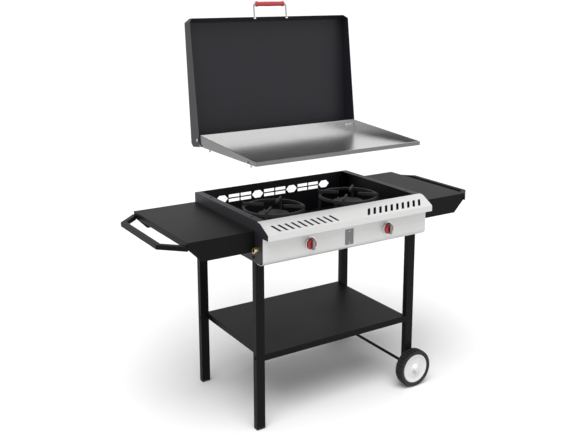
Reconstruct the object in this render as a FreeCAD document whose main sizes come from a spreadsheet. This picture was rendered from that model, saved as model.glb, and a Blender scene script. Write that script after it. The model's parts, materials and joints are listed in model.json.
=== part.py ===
"""Two-burner propane camp stove on a wheeled stand, with a lift-off griddle under a hinged lid.

Millimetres. +Z is up, +X runs to the wheel side, -Y faces the cook.
The origin is on the ground under the middle of the stove's overall box.
"""
import FreeCAD, Part
import os
import re
import Sketcher
from FreeCAD import Rotation, Vector

# Driving dimensions, each written once
SIZES = {
    # Stand
    "frame_width": 628,
    "frame_depth": 404,
    "leg_width": 30,
    "leg_depth": 20,
    "leg_wall": 1.5,
    "leg_top_gap": 20,
    "leg_tail": 20,
    "foot_height": 5,
    "foot_plug": 18,
    "shelf_height": 251,
    "shelf_lip": 21,
    "shelf_sheet": 1.2,
    # Wheels
    "wheel_radius": 66,
    "wheel_width": 36,
    "wheel_gap": 8,
    "hub_radius": 51,
    "hub_face": 26,
    "hub_boss": 14,
    "tyre_round": 6,
    "tread_count": 36,
    "tread_depth": 2.5,
    "tread_groove": 4,
    "axle_radius": 5,
    "axle_cap": 6,
    "axle_cap_radius": 9,
    # Burner box
    "rim_height": 688,
    "box_height": 133,
    "box_sheet": 1.2,
    "rim_flange": 24,
    "vent_drop": 26.5,
    "vent_height": 26,
    "vent_width": 46,
    "vent_flat": 22,
    "vent_pitch": 142,
    "vent_cell": 42,
    "vent_bar": 5,
    # Front panel
    "panel_sheet": 1.2,
    "panel_reach": 47,
    "panel_bend": 17,
    "panel_hem": 20,
    "hood_reach": 78,
    "hood_back": 16,
    "hood_ledge": 16,
    "ledge_drop": 2,
    "hood_drop": 28,
    "fascia_height": 19,
    "slot_first": 68,
    "slot_pitch": 23.1,
    "slot_count": 10,
    "slot_width": 10,
    "slot_length": 24.5,
    "slot_lean": 19,
    "slot_set": 41.5,
    # Side tables
    "table_drop": 33,
    "table_length": 220,
    "table_sheet": 1.2,
    "apron_height": 64,
    "apron_end": 20,
    "bar_reach": 70,
    "bar_length": 276,
    "bar_width": 18,
    "bar_height": 15,
    "bar_drop": 10,
    # Gas train
    "knob_spread": 150,
    "knob_drop": 86,
    "knob_gap": 4.5,
    "skirt_radius": 19,
    "skirt_height": 5,
    "grip_radius": 16.5,
    "grip_height": 22,
    "grip_bar": 9,
    "grip_base": 13,
    "bezel_width": 2,
    "bezel_height": 3,
    "spindle_radius": 4,
    "spindle_grip": 12,
    "manifold_radius": 8,
    "manifold_wall": 2,
    "manifold_set": 28,
    "valve_width": 26,
    "valve_front": 8,
    "valve_back": 42,
    "boss_radius": 11,
    "nozzle_radius": 6,
    "nozzle_length": 12,
    "inlet_reach": 17,
    "inlet_radius": 9.5,
    "tube_radius": 12,
    "tube_wall": 1.5,
    # Burners
    "burner_set": 165,
    "neck_radius": 17,
    "bowl_radius": 46,
    "bowl_rise": 16,
    "bowl_height": 18,
    "cap_radius": 52,
    "cap_height": 10,
    "port_count": 24,
    "port_width": 4,
    "port_depth": 6,
    "trivet_radius": 104,
    "trivet_inner": 34,
    "trivet_bar": 6,
    "trivet_deep": 9,
    "trivet_gap": 10,
    "electrode_radius": 4,
    "electrode_wire": 1.2,
    "electrode_set": 4,
    "electrode_rise": 50,
    # Griddle
    "griddle_width": 628,
    "griddle_depth": 371,
    "griddle_front": 9,
    "griddle_wall": 3,
    "griddle_floor": 5,
    "griddle_back_height": 37,
    "griddle_front_height": 13,
    "griddle_lift": 164.3,
    "peg_radius": 3,
    "peg_length": 12,
    "peg_inset": 12,
    "peg_set": 50,
    # Lid
    "lid_length": 420,
    "lid_back_height": 64,
    "lid_front_height": 40,
    "lid_sheet": 1.2,
    "lid_gap": 1.6,
    "lid_chamfer": 12,
    "lid_corner": 12,
    "lid_open": 97.5,
    "hinge_behind": 7,
    "hinge_rise": 20,
    "hinge_tail": 23,
    "hinge_edge": 12,
    "hinge_pin": 3,
    "pin_head": 5.5,
    "pin_head_height": 3,
    "bracket_sheet": 2.5,
    "bracket_width": 44,
    "bracket_foot": 4,
    "bracket_height": 29,
    "bracket_ear": 17,
    "stop_radius": 3,
    "stop_length": 4.5,
    "stop_set": 18,
    # Lid handle
    "handle_pitch": 128,
    "handle_reach": 44,
    "handle_rod": 3,
    "handle_bend": 8,
    "handle_rise": 18,
    "grip_sleeve": 8,
    "sleeve_collar": 9.5,
    "collar_length": 9,
    "nut_radius": 6,
    "nut_height": 5,
    # Fasteners and fits
    "bolt_radius": 3,
    "bolt_head": 5.5,
    "bolt_head_height": 2.5,
    "bolt_inset": 8,
    "table_bolt_high": 18,
    "table_bolt_low": 48,
    "side_screw_rise": 16,
    "hole_gap": 0.2,
    "running_gap": 0.05,
    "seat_gap": 0.1,
    "stop_gap": 0.3,
    "peg_gap": 1,
}

# Places worked out from the driving dimensions
PLACES = {
    "half_width": "frame_width / 2",
    "half_depth": "frame_depth / 2",
    "wheel_reach": "wheel_gap + wheel_width + axle_cap",
    "centre_y": "(hood_reach - wheel_reach) / 2",
    "front_y": "centre_y - half_depth",
    "back_y": "centre_y + half_depth",
    "side_x": "half_width + box_sheet",
    "leg_x": "half_width - leg_width / 2",
    "leg_top": "rim_height - leg_top_gap",
    "axle_z": "wheel_radius",
    "shelf_half": "half_width - leg_width",
    "box_bottom": "rim_height - box_height",
    "panel_y": "front_y - panel_reach",
    "fascia_y": "front_y - hood_reach",
    "hood_y": "front_y - hood_back",
    "crest_y": "hood_y - hood_ledge",
    "hood_fall": "(hood_drop - ledge_drop) / (hood_reach - hood_back - hood_ledge)",
    "hood_skin": "panel_sheet * sqrt(1 + hood_fall ^ 2)",
    "fascia_z": "rim_height - hood_drop - fascia_height",
    "bend_y": "panel_y + panel_bend",
    "tray_z": "box_bottom + panel_sheet",
    "tray_top": "tray_z + box_sheet",
    "table_height": "rim_height - table_drop",
    "knob_height": "rim_height - knob_drop",
    "table_end": "side_x + table_length",
    "bar_z": "table_height - bar_drop - bar_height",
    "burner_y": "front_y + burner_set",
    "manifold_y": "panel_y + manifold_set",
    "valve_end": "panel_y + valve_back",
    "bowl_z": "knob_height + bowl_rise",
    "cap_z": "bowl_z + bowl_height",
    "trivet_top": "rim_height - trivet_gap",
    "griddle_z": "rim_height + griddle_lift",
    "griddle_y": "front_y - griddle_front",
    "griddle_back": "griddle_y + griddle_depth",
    "griddle_half": "griddle_width / 2",
    "lid_half": "griddle_half + lid_gap + lid_sheet",
    "pivot_y": "griddle_back + hinge_behind",
    "pivot_z": "griddle_z + hinge_rise",
    "lid_front": "hinge_tail - lid_length",
    "lid_fall": "(lid_back_height - lid_front_height) / lid_length",
    "lid_skin": "lid_sheet * sqrt(1 + lid_fall ^ 2)",
    "handle_z": "handle_rise - hinge_edge",
}

doc = FreeCAD.newDocument("camp_stove")
sheet = doc.addObject("Spreadsheet::Sheet", "dims")
for row, (alias, size) in enumerate(SIZES.items(), start=1):
    sheet.set(f"A{row}", alias)
    sheet.set(f"B{row}", str(size))
    sheet.setAlias(f"B{row}", alias)
doc.recompute()

pieces = []


def formula(text):
    """The text with every size replaced by its cell and every place by its own formula."""

    def named(match):
        word = match.group(0)
        if word in PLACES:
            return "(" + formula(PLACES[word]) + ")"
        return "dims." + word if word in SIZES else word

    return re.sub(r"[a-z_]+", named, str(text))


def number(text):
    """The present value of a formula."""
    return float(sheet.evalExpression(formula(text)))


def bind(thing, **formulas):
    for name, text in formulas.items():
        thing.setExpression(name, formula(text))
    return thing


def move(thing, x="0", y="0", z="0"):
    for letter, text in zip("xyz", (x, y, z)):
        thing.setExpression("Placement.Base." + letter, formula(text))
    return thing


def piece(label, thing):
    """Names a finished sub-part, which is written to its own file."""
    thing.Label = label
    pieces.append(thing)
    return thing


def block(low, high):
    """A box between two corners."""
    box = doc.addObject("Part::Box", "block")
    spans = [f"({b}) - ({a})" for a, b in zip(low, high)]
    bind(box, Length=spans[0], Width=spans[1], Height=spans[2])
    return move(box, *low)


WAYS = {
    "x": Vector(1, 0, 0),
    "-x": Vector(-1, 0, 0),
    "y": Vector(0, 1, 0),
    "-y": Vector(0, -1, 0),
    "z": Vector(0, 0, 1),
}


def rod(way, radius, length, at):
    """A cylinder from a point, along one of the axes."""
    cylinder = doc.addObject("Part::Cylinder", "rod")
    bind(cylinder, Radius=radius, Height=length)
    cylinder.Placement = FreeCAD.Placement(Vector(), Rotation(Vector(0, 0, 1), WAYS[way]))
    return move(cylinder, *at)


def fuse(*things):
    union = doc.addObject("Part::MultiFuse", "fuse")
    union.Shapes = list(things)
    return union


def cut(base, *tools):
    difference = doc.addObject("Part::Cut", "cut")
    difference.Base = base
    difference.Tool = tools[0] if len(tools) == 1 else fuse(*tools)
    return difference


def bolt(way, at, grip):
    """A round-headed bolt: the head stands on the face at the point, the shank runs the other way."""
    back = {"x": "-x", "-x": "x", "y": "-y", "-y": "y"}[way]
    return fuse(rod(way, "bolt_head", "bolt_head_height", at), rod(back, "bolt_radius", grip, at))


def hole(way, radius, length, at):
    """A drill along an axis, to the same length on both sides of a point."""
    start = list(at)
    index = "xyz".index(way)
    start[index] = f"({at[index]}) - ({length})"
    return rod(way, radius, f"2 * ({length})", start)


def arc(corner, following, axis, centre, turn):
    """The arc between two corners, with one coordinate of its centre given."""
    known = "xy".index(axis)
    other = 1 - known
    across = following[known] ** 2 - corner[known] ** 2 - 2 * centre * (following[known] - corner[known])
    along = following[other] - corner[other]
    middle = [0.0, 0.0]
    middle[known] = centre
    middle[other] = corner[other]
    if abs(along) > 1e-9:
        middle[other] = (across + following[other] ** 2 - corner[other] ** 2) / (2 * along)
    centre_point = Vector(*middle, 0)
    ends = [Vector(*corner, 0), Vector(*following, 0)]
    if turn < 0:
        ends.reverse()
    circle = Part.Circle(centre_point, Vector(0, 0, 1), (ends[0] - centre_point).Length)
    return Part.ArcOfCircle(circle, circle.parameter(ends[0]), circle.parameter(ends[1]))


def sketch_on(body, plane, rise="0"):
    sketch = body.newObject("Sketcher::SketchObject", "sketch")
    support = next(f for f in body.Origin.OriginFeatures if f.Role == plane)
    sketch.AttachmentSupport = [(support, "")]
    sketch.MapMode = "FlatFace"
    bind(sketch, **{"AttachmentOffset.Base.z": rise})
    return sketch


def fix_sizes(sketch, rules):
    """Adds dimensions, each (kind, places, formula), and binds them."""
    for kind, places, text in rules:
        index = sketch.addConstraint(Sketcher.Constraint(kind, *places, number(text)))
        sketch.setExpression(f"Constraints[{index}]", formula(text))


def outline(body, plane, corners, rise="0", closed=True):
    """A chain of lines. A corner is (x, y), or (x, y, axis, centre, turn) where an arc leaves it."""
    sketch = sketch_on(body, plane, rise)
    spots = [(number(c[0]), number(c[1])) for c in corners]
    links = len(corners) if closed else len(corners) - 1
    ends = []
    for i, corner in enumerate(corners[:links]):
        following = spots[(i + 1) % len(spots)]
        if len(corner) == 2:
            sketch.addGeometry(Part.LineSegment(Vector(*spots[i], 0), Vector(*following, 0)))
            ends.append((1, 2))
        else:
            axis, centre, turn = corner[2:]
            sketch.addGeometry(arc(spots[i], following, axis, number(centre), turn))
            ends.append((1, 2) if turn > 0 else (2, 1))
    for i in range(0 if closed else 1, links):
        before = (i - 1) % links
        sketch.addConstraint(Sketcher.Constraint("Coincident", before, ends[before][1], i, ends[i][0]))
    for i, corner in enumerate(corners):
        line, vertex = (i, ends[i][0]) if i < links else (links - 1, ends[-1][1])
        spot = (-1, 1, line, vertex)
        rules = [("DistanceX", spot, corner[0]), ("DistanceY", spot, corner[1])]
        if len(corner) > 2:
            rules.append(("Distance" + corner[2].upper(), (-1, 1, line, 3), corner[3]))
        fix_sizes(sketch, rules)
    return sketch


def disc(body, plane, radius, x="0", y="0", rise="0"):
    """A sketch of one circle."""
    sketch = sketch_on(body, plane, rise)
    centre = Vector(number(x), number(y), 0)
    sketch.addGeometry(Part.Circle(centre, Vector(0, 0, 1), number(radius)))
    spot = (-1, 1, 0, 3)
    fix_sizes(sketch, [("Radius", (0,), radius), ("DistanceX", spot, x), ("DistanceY", spot, y)])
    return sketch


def new_body():
    return doc.addObject("PartDesign::Body", "body")


def feature(body, kind, sketch, length, symmetric=False, reverse=False):
    """A Pad or Pocket of a sketch."""
    made = body.newObject("PartDesign::" + kind, kind.lower())
    made.Profile = sketch
    made.SideType = "Symmetric" if symmetric else "One side"
    made.Reversed = reverse
    bind(made, Length=length)
    return made


def revolve(body, corners):
    """A turned solid about the body's Y axis, from an outline of (radius, y)."""
    sketch = outline(body, "XY_Plane", corners)
    made = body.newObject("PartDesign::Revolution", "turned")
    made.Profile = sketch
    made.ReferenceAxis = (sketch, ["V_Axis"])
    made.Angle = 360
    return made


def repeat_round(body, original, axis, count):
    pattern = body.newObject("PartDesign::PolarPattern", "round")
    pattern.Originals = [original]
    pattern.Axis = (next(f for f in body.Origin.OriginFeatures if f.Role == axis), [""])
    pattern.Angle = 360
    bind(pattern, Occurrences=count)
    body.Tip = pattern
    return pattern


def tray(plane, outer, depth, inner, inner_depth):
    """A folded sheet: a solid outline with a smaller outline taken out, both about the plane."""
    body = new_body()
    feature(body, "Pad", outline(body, plane, outer), depth, symmetric=True)
    feature(body, "Pocket", outline(body, plane, inner), inner_depth, symmetric=True)
    return body


SIDES = {"left": "-1", "right": "1"}
ENDS = {"front": "-1", "back": "1"}
TABLE_BOLTS = ("table_height - table_bolt_high", "table_height - table_bolt_low")
BOX_BOLTS = (*TABLE_BOLTS, "box_bottom + side_screw_rise")
LEG_BOLTS = (*BOX_BOLTS, "shelf_height - shelf_lip / 2")


def leg_y(end):
    return f"centre_y + ({ENDS[end]}) * (half_depth - leg_depth / 2)"


def make_leg(side, end):
    x, y = f"({SIDES[side]}) * leg_x", leg_y(end)
    low = "foot_height" if side == "left" else "axle_z - leg_tail"
    wide, deep = "leg_width / 2", "leg_depth / 2"
    outer = block((f"{x} - {wide}", f"{y} - {deep}", low), (f"{x} + {wide}", f"{y} + {deep}", "leg_top"))
    inner = block(
        (f"{x} - {wide} + leg_wall", f"{y} - {deep} + leg_wall", f"{low} - leg_wall"),
        (f"{x} + {wide} - leg_wall", f"{y} + {deep} - leg_wall", "leg_top + leg_wall"),
    )
    drills = [hole("x", "bolt_radius + hole_gap", "leg_width", (x, y, z)) for z in LEG_BOLTS]
    if side == "right":
        drills.append(hole("y", "axle_radius + running_gap", "leg_depth", (x, y, "axle_z")))
    piece(f"leg_{end}_{side}", cut(outer, inner, *drills))


def make_feet():
    """Plastic plugs in the two legs that stand on the ground."""
    plugs = []
    for end in ENDS:
        x, y = "-leg_x", leg_y(end)
        wide, deep = "leg_width / 2", "leg_depth / 2"
        low, high = (f"{x} - {wide}", f"{y} - {deep}", "0"), (f"{x} + {wide}", f"{y} + {deep}", "foot_height")
        plugs.append(block(low, high))
        skin = "(leg_wall + seat_gap)"
        plugs.append(
            block(
                (f"{x} - {wide} + {skin}", f"{y} - {deep} + {skin}", "foot_height"),
                (f"{x} + {wide} - {skin}", f"{y} + {deep} - {skin}", "foot_height + foot_plug"),
            )
        )
    piece("foot_plugs", fuse(*plugs))


def make_shelf():
    """A tray turned upside down between the legs, bolted through them."""
    top, low = "shelf_height", "shelf_height - shelf_lip"
    outer = [("-shelf_half", low), ("shelf_half", low), ("shelf_half", top), ("-shelf_half", top)]
    side, under = "shelf_half - shelf_sheet", "shelf_height - shelf_sheet"
    inner = [(f"-({side})", f"{low} - shelf_sheet"), (side, f"{low} - shelf_sheet"), (side, under)]
    inner.append((f"-({side})", under))
    body = tray("XZ_Plane", outer, "frame_depth", inner, "frame_depth - 2 * shelf_sheet")
    move(body, y="centre_y")
    z = "shelf_height - shelf_lip / 2"
    drills, bolts = [], []
    for side in SIDES:
        sign = SIDES[side]
        for end in ENDS:
            inside = (f"({sign}) * shelf_half", leg_y(end), z)
            drills.append(hole("x", "bolt_radius + hole_gap", "bolt_inset", inside))
            way = "x" if side == "right" else "-x"
            bolts.append(bolt(way, (f"({sign}) * half_width", leg_y(end), z), "leg_width + bolt_inset"))
    piece("bottom_shelf", cut(body, *drills))
    piece("shelf_bolts", fuse(*bolts))


def make_wheels():
    """One axle through the two right legs, a wheel outside each leg."""
    reach = "half_depth + wheel_gap + wheel_width"
    axle = rod("y", "axle_radius", f"2 * ({reach})", ("leg_x", f"centre_y - ({reach})", "axle_z"))
    piece("wheel_axle", axle)
    caps, washers = [], []
    for end, sign in ENDS.items():
        way = "y" if end == "back" else "-y"
        outside = ("leg_x", f"centre_y + ({sign}) * ({reach})", "axle_z")
        caps.append(rod(way, "axle_cap_radius", "axle_cap", outside))
        beside = ("leg_x", f"centre_y + ({sign}) * half_depth", "axle_z")
        length = "wheel_gap - stop_gap"
        washers.append(
            cut(
                rod(way, "axle_cap_radius", length, beside),
                hole("y", "axle_radius + running_gap", "2 * wheel_gap", beside),
            )
        )
        middle = f"centre_y + ({sign}) * (half_depth + wheel_gap + wheel_width / 2)"
        make_tyre(f"{end}_tyre", middle)
        make_hub(f"{end}_wheel_hub", middle)
    piece("axle_caps", fuse(*caps))
    piece("axle_washers", fuse(*washers))


def make_tyre(label, y):
    body = new_body()
    half, bead = "wheel_width / 2 - stop_gap", "hub_radius + seat_gap"
    flank = f"{half} - tyre_round / 2"
    crown = f"{half} - tyre_round"
    revolve(
        body,
        [
            (bead, f"-({flank})"),
            ("wheel_radius - tyre_round", f"-({half})", "x", "wheel_radius - tyre_round", 1),
            ("wheel_radius", f"-({crown})"),
            ("wheel_radius", crown, "x", "wheel_radius - tyre_round", 1),
            ("wheel_radius - tyre_round", half),
            (bead, flank),
        ],
    )
    edge, wide = "wheel_radius - tread_depth", "tread_groove / 2"
    far = "wheel_radius + tread_depth"
    groove = [(edge, f"-{wide}"), (far, f"-{wide}"), (far, wide), (edge, wide)]
    notch = feature(body, "Pocket", outline(body, "XZ_Plane", groove), "wheel_width * 2", symmetric=True)
    repeat_round(body, notch, "Y_Axis", "tread_count")
    piece(label, move(body, "leg_x", y, "axle_z"))


def make_hub(label, y):
    body = new_body()
    bore, half = "axle_radius + running_gap", "wheel_width / 2 - stop_gap"
    face, lip = "hub_face / 2", "hub_radius - tyre_round"
    flank = f"{half} - tyre_round / 2"
    right = [
        (bore, f"-({half})"),
        ("hub_boss", f"-({half})"),
        ("hub_boss", f"-{face}"),
        (lip, f"-{face}"),
        (lip, f"-({flank})"),
        ("hub_radius", f"-({flank})"),
        ("hub_radius", flank),
        (lip, flank),
        (lip, face),
        ("hub_boss", face),
        ("hub_boss", half),
        (bore, half),
    ]
    revolve(body, right)
    piece(label, move(body, "leg_x", y, "axle_z"))


def make_box_side(side):
    """A side wall that follows the front panel's section, with a flange that seats the griddle."""
    sign = SIDES[side]
    skin = "(panel_sheet + hole_gap)"
    drop = "(hood_skin + hole_gap)"
    nose = f"fascia_y + {skin}"
    wall = [
        ("bend_y", "tray_z + hole_gap"),
        ("back_y", "tray_z + hole_gap"),
        ("back_y", "rim_height"),
        ("hood_y", "rim_height"),
        ("hood_y", f"rim_height - {drop}"),
        ("crest_y", f"rim_height - ledge_drop - {drop}"),
        (nose, f"rim_height - hood_drop - {drop} + hood_fall * ({skin})"),
        (nose, f"fascia_z + {skin}"),
        (f"panel_y + {skin}", f"fascia_z + {skin}"),
        (f"panel_y + {skin}", "tray_z + hole_gap + panel_bend"),
    ]
    body = new_body()
    feature(body, "Pad", outline(body, "YZ_Plane", wall), "box_sheet", symmetric=True)
    move(body, f"({sign}) * (half_width + box_sheet / 2)")
    inside = f"({sign}) * (side_x - rim_flange)"
    outside = f"({sign}) * half_width"
    low, high = (outside, inside) if side == "left" else (inside, outside)
    flange = block((low, "hood_y", "rim_height - box_sheet"), (high, "back_y", "rim_height"))
    drills = []
    for end in ENDS:
        for z in BOX_BOLTS:
            at = (f"({sign}) * side_x", leg_y(end), z)
            drills.append(hole("x", "bolt_radius + hole_gap", "bolt_inset", at))
        peg = (f"({sign}) * (griddle_half - peg_inset)", peg_y(end), "rim_height")
        drills.append(hole("z", "peg_radius + peg_gap", "bolt_inset", peg))
    if side == "left":
        inlet = ("-side_x", "manifold_y", "knob_height")
        drills.append(hole("x", "manifold_radius + hole_gap", "bolt_inset", inlet))
    piece(f"box_{side}_side", cut(fuse(body, flange), *drills))


def peg_y(end):
    return "griddle_y + peg_set" if end == "front" else "griddle_back - peg_set"


def make_box_back():
    """The back wall with its row of vents: six-sided holes with four slots between each two."""
    wall = block(("-side_x", "back_y", "tray_z"), ("side_x", "back_y + box_sheet", "rim_height"))
    vents = []
    middle = "rim_height - vent_drop - vent_height / 2"
    wide, flat, tall = "vent_width / 2", "vent_flat / 2", "vent_height / 2"
    six = [(wide, "0"), (flat, tall), (f"-{flat}", tall)]
    six += [(f"-{wide}", "0"), (f"-{flat}", f"-{tall}"), (flat, f"-{tall}")]
    for place in (-1.5, -0.5, 0.5, 1.5):
        body = new_body()
        feature(body, "Pad", outline(body, "XZ_Plane", six), "4 * box_sheet", symmetric=True)
        vents.append(move(body, f"({place}) * vent_pitch", "back_y", middle))
    for place in (-1, 0, 1):
        for across in (-1, 1):
            for up in (-1, 1):
                x = f"({place}) * vent_pitch + ({across}) * (vent_cell + vent_bar) / 2"
                z = f"{middle} + ({up}) * (vent_height + vent_bar) / 4"
                wide, tall = "vent_cell / 2", "(vent_height - vent_bar) / 4"
                vents.append(
                    block(
                        (f"{x} - {wide}", "back_y - box_sheet", f"{z} - {tall}"),
                        (f"{x} + {wide}", "back_y + 2 * box_sheet", f"{z} + {tall}"),
                    )
                )
    piece("box_back_wall", cut(wall, *vents))


def make_box_tray():
    """The floor of the box, notched round the legs and resting on the front panel's hem."""
    floor = block(
        ("-half_width", "bend_y", "tray_z"),
        ("half_width", "back_y", "tray_top"),
    )
    notches = []
    for side in SIDES:
        for end in ENDS:
            x, y = f"({SIDES[side]}) * leg_x", leg_y(end)
            wide, deep = "leg_width / 2 + hole_gap", "leg_depth / 2 + hole_gap"
            notches.append(
                block(
                    (f"{x} - ({wide})", f"{y} - ({deep})", "tray_z - box_sheet"),
                    (f"{x} + ({wide})", f"{y} + ({deep})", "tray_top + box_sheet"),
                )
            )
    piece("box_tray", cut(floor, *notches))


def make_front_panel():
    """One bent sheet: ledge, sloping hood with louvre slots, fascia, knob face, rolled lower edge."""
    skin = "panel_sheet"
    inner_nose = "rim_height - hood_drop - hood_skin + hood_fall * panel_sheet"
    hem = "bend_y + panel_hem"
    section = [
        ("hood_y", "rim_height"),
        ("crest_y", "rim_height - ledge_drop"),
        ("fascia_y", "rim_height - hood_drop"),
        ("fascia_y", "fascia_z"),
        ("panel_y", "fascia_z"),
        ("panel_y", "box_bottom + panel_bend", "y", "box_bottom + panel_bend", 1),
        ("bend_y", "box_bottom"),
        (hem, "box_bottom"),
        (hem, f"box_bottom + {skin}"),
        ("bend_y", f"box_bottom + {skin}", "y", "box_bottom + panel_bend", -1),
        (f"panel_y + {skin}", "box_bottom + panel_bend"),
        (f"panel_y + {skin}", f"fascia_z + {skin}"),
        (f"fascia_y + {skin}", f"fascia_z + {skin}"),
        (f"fascia_y + {skin}", inner_nose),
        ("crest_y", "rim_height - ledge_drop - hood_skin"),
        ("hood_y", "rim_height - hood_skin"),
    ]
    body = new_body()
    feature(body, "Pad", outline(body, "YZ_Plane", section), "2 * side_x", symmetric=True)
    for sign in SIDES.values():
        cut_slots(body, sign)
    drills = []
    for sign in SIDES.values():
        at = (f"({sign}) * knob_spread", "panel_y", "knob_height")
        drills.append(hole("y", "spindle_radius + peg_gap", "panel_sheet * 3", at))
    piece("front_panel", cut(body, *drills))


def cut_slots(body, sign):
    """One row of louvre slots in the hood, from the middle out, leaning to the middle at the front."""
    first, lean = f"({sign}) * slot_first", f"({sign}) * slot_lean / 2"
    middle, half = "hood_y - slot_set", "slot_length / 2"
    slot = [
        (f"{first} - {lean} - slot_width / 2", f"{middle} - {half}"),
        (f"{first} - {lean} + slot_width / 2", f"{middle} - {half}"),
        (f"{first} + {lean} + slot_width / 2", f"{middle} + {half}"),
        (f"{first} + {lean} - slot_width / 2", f"{middle} + {half}"),
    ]
    depth = "hood_drop + fascia_height / 2"
    pocket = feature(body, "Pocket", outline(body, "XY_Plane", slot, "rim_height"), depth)
    row = body.newObject("PartDesign::LinearPattern", "row")
    row.Originals = [pocket]
    row.Direction = (next(f for f in body.Origin.OriginFeatures if f.Role == "X_Axis"), [""])
    row.Reversed = number(sign) < 0
    bind(row, Length="slot_pitch * (slot_count - 1)", Occurrences="slot_count")
    body.Tip = row


def make_table(side):
    """A side table: top, four aprons with the outer corners cut back, and a towel bar."""
    sign = SIDES[side]
    low = "table_height - apron_height"
    slant = "table_end - (apron_height - apron_end)"
    end_low = "table_height - apron_end"
    skin = "table_sheet"
    outer = [
        ("side_x", low),
        (slant, low),
        ("table_end", end_low),
        ("table_end", "table_height"),
        ("side_x", "table_height"),
    ]
    inner = [
        (f"side_x + {skin}", f"{low} - {skin}"),
        (f"{slant} - {skin}", f"{low} - {skin}"),
        (f"table_end - {skin}", f"{end_low} - {skin}"),
        (f"table_end - {skin}", f"table_height - {skin}"),
        (f"side_x + {skin}", f"table_height - {skin}"),
    ]
    if side == "left":
        outer = [(f"-({x})", z) for x, z in reversed(outer)]
        inner = [(f"-({x})", z) for x, z in reversed(inner)]
    body = tray("XZ_Plane", outer, "frame_depth", inner, "frame_depth - 2 * table_sheet")
    move(body, y="centre_y")
    drills, bolts = [], []
    way = "x" if side == "right" else "-x"
    for end in ENDS:
        for z in TABLE_BOLTS:
            at = (f"({sign}) * (side_x + table_sheet)", leg_y(end), z)
            drills.append(hole("x", "bolt_radius + hole_gap", "bolt_inset", at))
            bolts.append(bolt(way, at, "table_sheet + box_sheet + bolt_inset"))
    piece(f"{side}_table", cut(body, *drills))
    make_bar(side)
    return bolts


def make_bar(side):
    """A trapezoid towel bar that is also the carrying handle, with arms at 45 degrees."""
    inset = "bar_width * tan(22.5)"
    half, root = "bar_length / 2", "bar_length / 2 + bar_reach"
    inner_root = f"{root} - bar_width * sqrt(2)"
    far = "table_end + bar_reach"
    ring = [
        ("table_end", f"-({root})"),
        (far, f"-({half})"),
        (far, half),
        ("table_end", root),
        ("table_end", inner_root),
        (f"{far} - bar_width", f"{half} - {inset}"),
        (f"{far} - bar_width", f"-({half} - {inset})"),
        ("table_end", f"-({inner_root})"),
    ]
    if side == "left":
        ring = [(f"-({x})", y) for x, y in reversed(ring)]
    body = new_body()
    feature(body, "Pad", outline(body, "XY_Plane", ring), "bar_height")
    piece(f"{side}_towel_bar", move(body, y="centre_y", z="bar_z"))


def make_side_screws():
    screws = []
    for side, sign in SIDES.items():
        for end in ENDS:
            at = (f"({sign}) * side_x", leg_y(end), "box_bottom + side_screw_rise")
            screws.append(bolt("x" if side == "right" else "-x", at, "box_sheet + bolt_inset"))
    piece("box_screws", fuse(*screws))


def make_manifold():
    """The gas pipe behind the panel and its brass inlet outside the left wall."""
    far = "knob_spread + valve_width"
    start = "-side_x - inlet_reach / 2"
    at = (start, "manifold_y", "knob_height")
    pipe = rod("x", "manifold_radius", f"{far} - ({start})", at)
    flow = rod("x", "manifold_radius - manifold_wall", f"{far} - ({start}) - manifold_wall", at)
    piece("gas_manifold", cut(pipe, flow))
    end = "-side_x - inlet_reach"
    collar = rod("x", "inlet_radius", "inlet_reach - hole_gap", (end, "manifold_y", "knob_height"))
    seat = rod("x", "manifold_radius + seat_gap", "inlet_reach", at)
    port = rod("x", "manifold_radius - tube_wall", "inlet_reach", (end, "manifold_y", "knob_height"))
    piece("gas_inlet", cut(collar, seat, port))


def make_valve(side):
    x = f"({SIDES[side]}) * knob_spread"
    half = "valve_width / 2"
    inside = "panel_y + panel_sheet"
    case = block(
        (f"{x} - {half}", "panel_y + valve_front", f"knob_height - {half}"),
        (f"{x} + {half}", "valve_end", f"knob_height + {half}"),
    )
    boss = rod("y", "boss_radius", "valve_front - panel_sheet + tube_wall", (x, inside, "knob_height"))
    nozzle = rod("y", "nozzle_radius", "nozzle_length", (x, "valve_end", "knob_height"))
    pipe = hole("x", "manifold_radius + running_gap", "valve_width", (x, "manifold_y", "knob_height"))
    depth = "manifold_set - manifold_radius - tube_wall"
    bore = rod("y", "spindle_radius + running_gap", depth, (x, "panel_y", "knob_height"))
    piece(f"{side}_valve", cut(fuse(case, boss, nozzle), pipe, bore))


def make_knob(side):
    """The spindle turns in the valve, and the knob is pushed in along it before it turns."""
    x = f"({SIDES[side]}) * knob_spread"
    back = "panel_y - knob_gap"
    tip = f"{back} - spindle_grip"
    depth = "manifold_set - manifold_radius - 2 * tube_wall"
    length = f"panel_y + {depth} - ({tip})"
    piece(f"{side}_spindle", rod("y", "spindle_radius", length, (x, tip, "knob_height")))
    bore = rod("-y", "spindle_radius + running_gap", "spindle_grip + knob_gap", (x, back, "knob_height"))
    base = rod("-y", "grip_radius", "grip_base", (x, back, "knob_height"))
    half = "grip_bar / 2"
    tall = f"(sqrt(grip_radius ^ 2 - ({half}) ^ 2) - seat_gap)"
    bar = block(
        (f"{x} - {half}", f"{back} - grip_height", f"knob_height - {tall}"),
        (f"{x} + {half}", back, f"knob_height + {tall}"),
    )
    piece(f"{side}_knob", cut(fuse(base, bar), bore))
    skirt = rod("-y", "skirt_radius", "skirt_height", (x, back, "knob_height"))
    seat = hole("y", "grip_radius + seat_gap", "skirt_height * 2", (x, back, "knob_height"))
    piece(f"{side}_knob_skirt", cut(skirt, seat))


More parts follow.
